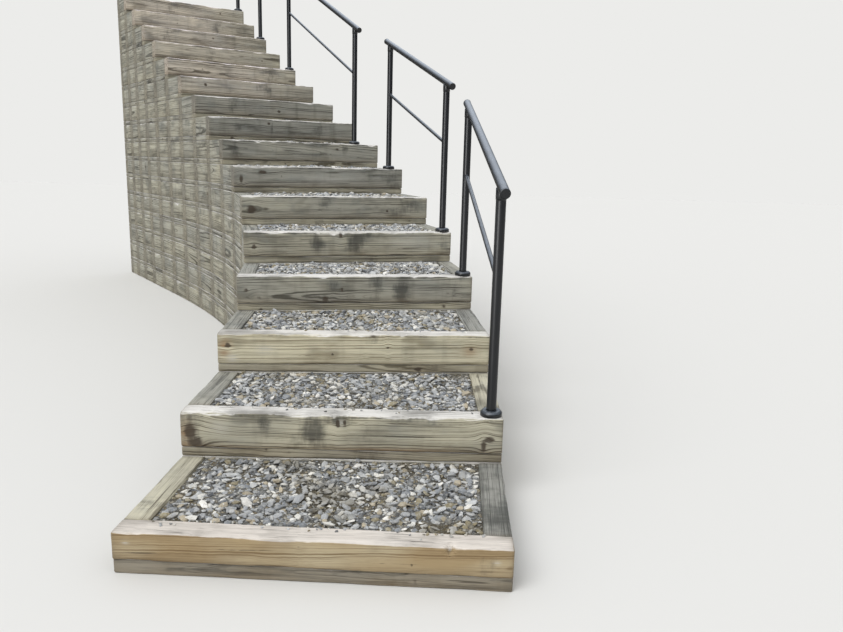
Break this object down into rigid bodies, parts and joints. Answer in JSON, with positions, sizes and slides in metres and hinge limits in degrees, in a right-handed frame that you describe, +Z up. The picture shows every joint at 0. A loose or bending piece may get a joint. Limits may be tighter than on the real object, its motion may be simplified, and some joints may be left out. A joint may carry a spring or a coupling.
{
  "type": "timber and gravel garden steps",
  "caption": "Flight of curved outdoor box steps: timber frames filled with gravel, on timber crib walls, with black tube handrails on the right.",
  "frame": {"origin": "on level ground, under the middle of the lowest riser", "axes": "+Y runs up the flight from the lowest riser, +X to the climber's right, +Z up"},
  "size_m": [3.7444, 6.6384, 3.7443],
  "materials": {
    "lowest_timber": "golden sawn timber with a weathered pale top",
    "riser_timber": "weathered sawn timber",
    "side_timber": "weathered sawn timber, greyer",
    "plank": "damp dark timber",
    "crib_timber": "weathered sawn timber",
    "gravel": null,
    "gravel_core": null,
    "black_tube": "satin black paint on steel tube"
  },
  "bodies": {
    "root": {"riser_timber_01": "lowest_timber", "riser_timber_02": "riser_timber", "riser_timber_03": "riser_timber", "riser_timber_04": "riser_timber", "riser_timber_05": "riser_timber", "riser_timber_06": "riser_timber", "riser_timber_07": "riser_timber", "riser_timber_08": "riser_timber", "riser_timber_09": "riser_timber", "riser_timber_10": "riser_timber", "riser_timber_11": "riser_timber", "riser_timber_12": "riser_timber", "riser_timber_13": "riser_timber", "riser_timber_14": "riser_timber", "riser_timber_15": "riser_timber", "riser_timber_16": "riser_timber", "left_side_timbers": "side_timber", "right_side_timbers": "side_timber", "riser_planks": "plank", "left_planks": "plank", "right_planks": "plank", "left_crib_walls": "crib_timber", "right_crib_walls": "crib_timber", "cross_walls": "crib_timber", "gravel_treads": "gravel", "gravel_core": "gravel_core", "rear_wall": "crib_timber", "handrail_a_posts": "black_tube", "handrail_a_flanges": "black_tube", "handrail_a_top_rail": "black_tube", "handrail_a_middle_rail": "black_tube", "handrail_b_posts": "black_tube", "handrail_b_flanges": "black_tube", "handrail_b_top_rail": "black_tube", "handrail_b_middle_rail": "black_tube", "handrail_c_posts": "black_tube", "handrail_c_flanges": "black_tube", "handrail_c_top_rail": "black_tube", "handrail_c_middle_rail": "black_tube", "handrail_d_posts": "black_tube", "handrail_d_flanges": "black_tube", "handrail_d_top_rail": "black_tube", "handrail_d_middle_rail": "black_tube"}
  },
  "joints": []
}
